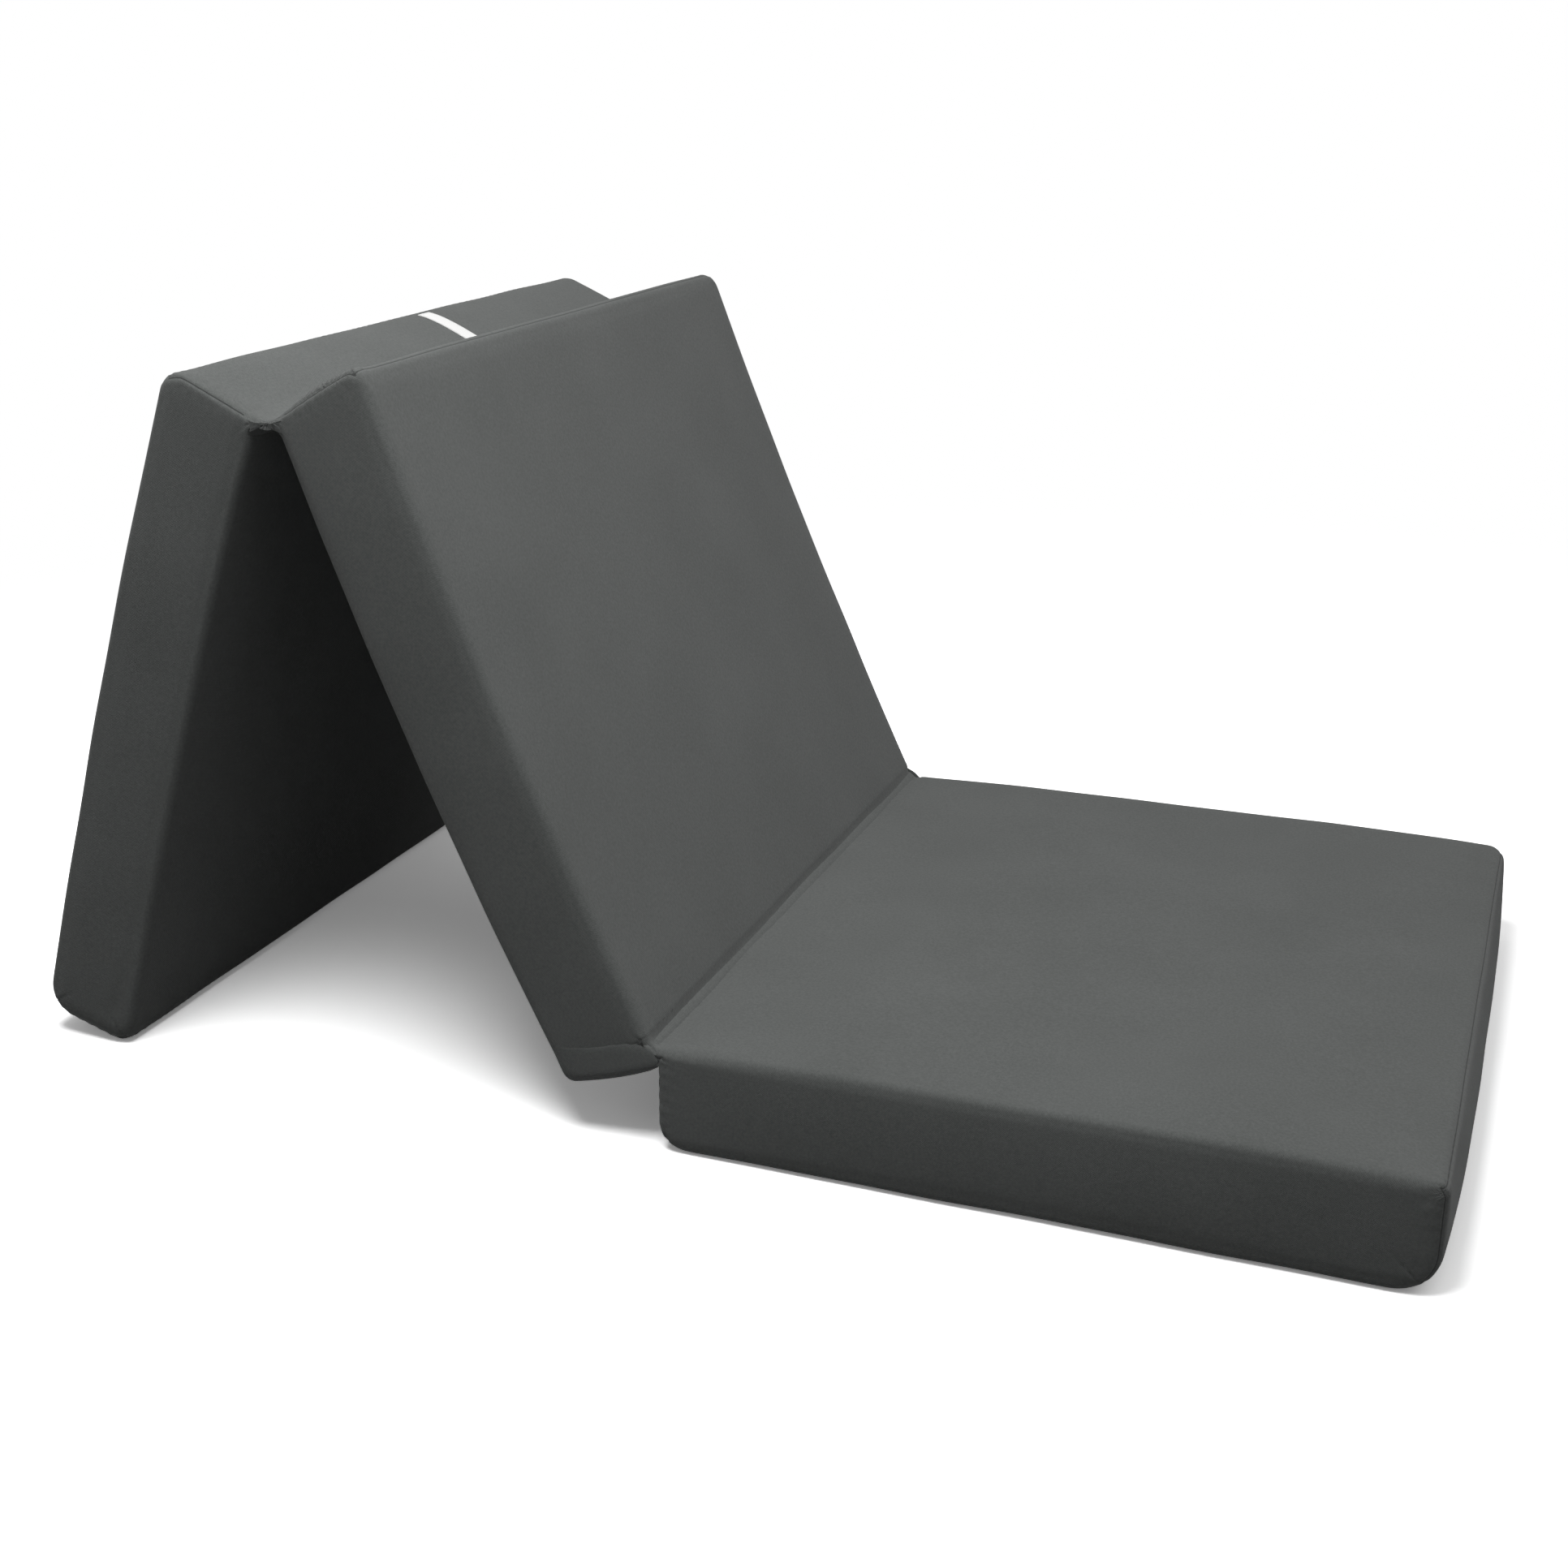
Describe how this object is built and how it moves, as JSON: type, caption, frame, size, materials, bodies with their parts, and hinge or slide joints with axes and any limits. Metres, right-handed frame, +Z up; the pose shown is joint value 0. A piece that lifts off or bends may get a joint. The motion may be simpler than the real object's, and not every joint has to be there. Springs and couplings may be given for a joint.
{
  "type": "tri-fold floor mattress",
  "caption": "Folding foam mattress in hinged panels with zipped cloth covers, one panel flat on the floor and the others raised as a tent.",
  "frame": {"origin": "on the floor, under the middle of the flat foot panel", "axes": "+Z up, +X along the open mattress from its head end to its foot end, +Y across it towards the zipped long side"},
  "size_m": [1.2805, 0.7555, 0.6496],
  "materials": {
    "charcoal_cloth": "matte",
    "foam": "matte",
    "zip_cloth": "matte",
    "zip_metal": "satin",
    "white_tape": "matte"
  },
  "bodies": {
    "foot_panel": {"foot_foam_core": "foam", "foot_cover": "charcoal_cloth", "foot_zip_upper_half": "zip_cloth", "foot_zip_lower_half": "zip_cloth", "foot_zip_top_stop": "zip_metal", "foot_zip_bottom_stop": "zip_metal", "foot_middle_fold_strip": "charcoal_cloth"},
    "foot_slider": {"foot_zip_slider": "zip_metal"},
    "foot_pull": {"foot_zip_pull": "zip_metal"},
    "middle_panel": {"middle_foam_core": "foam", "middle_cover": "charcoal_cloth", "middle_zip_upper_half": "zip_cloth", "middle_zip_lower_half": "zip_cloth", "middle_zip_top_stop": "zip_metal", "middle_zip_bottom_stop": "zip_metal", "middle_head_fold_strip": "charcoal_cloth"},
    "middle_slider": {"middle_zip_slider": "zip_metal"},
    "middle_pull": {"middle_zip_pull": "zip_metal"},
    "head_panel": {"head_foam_core": "foam", "head_cover": "charcoal_cloth", "head_zip_upper_half": "zip_cloth", "head_zip_lower_half": "zip_cloth", "head_zip_top_stop": "zip_metal", "head_zip_bottom_stop": "zip_metal", "head_end_tab": "white_tape"},
    "head_slider": {"head_zip_slider": "zip_metal"},
    "head_pull": {"head_zip_pull": "zip_metal"}
  },
  "joints": [
    {"name": "foot_middle_fold", "type": "hinge", "parent": "foot_panel", "child": "middle_panel", "pos_m": [-0.3265, 0, 0.0985], "axis": [0, 1, 0], "range_deg": [-66.2, 113.8], "deforming": ["foot_middle_fold_strip"]},
    {"name": "middle_head_fold", "type": "hinge", "parent": "middle_panel", "child": "head_panel", "pos_m": [-0.66588, 0, 0.6177], "axis": [0, 1, 0], "range_deg": [-41.41, 138.58], "deforming": ["middle_head_fold_strip"]},
    {"name": "foot_zip_slide", "type": "slide", "parent": "foot_panel", "child": "foot_slider", "axis": [1, 0, 0], "range_m": [0, 0.401]},
    {"name": "foot_pull_swing", "type": "hinge", "parent": "foot_slider", "child": "foot_pull", "pos_m": [-0.2007, 0.3784, 0.048], "axis": [0, 0, 1], "range_deg": [0, 175]},
    {"name": "middle_zip_slide", "type": "slide", "parent": "middle_panel", "child": "middle_slider", "axis": [0.4035, 0, -0.915], "range_m": [0, 0.401]},
    {"name": "middle_pull_swing", "type": "hinge", "parent": "middle_slider", "child": "middle_pull", "pos_m": [-0.58048, 0.3784, 0.54028], "axis": [0.915, 0, 0.4035], "range_deg": [0, 175]},
    {"name": "head_zip_slide", "type": "slide", "parent": "head_panel", "child": "head_slider", "axis": [-0.3026, 0, -0.9531], "range_m": [0, 0.401]},
    {"name": "head_pull_swing", "type": "hinge", "parent": "head_slider", "child": "head_pull", "pos_m": [-0.75657, 0.3784, 0.51083], "axis": [0.9531, 0, -0.3026], "range_deg": [0, 175]}
  ]
}
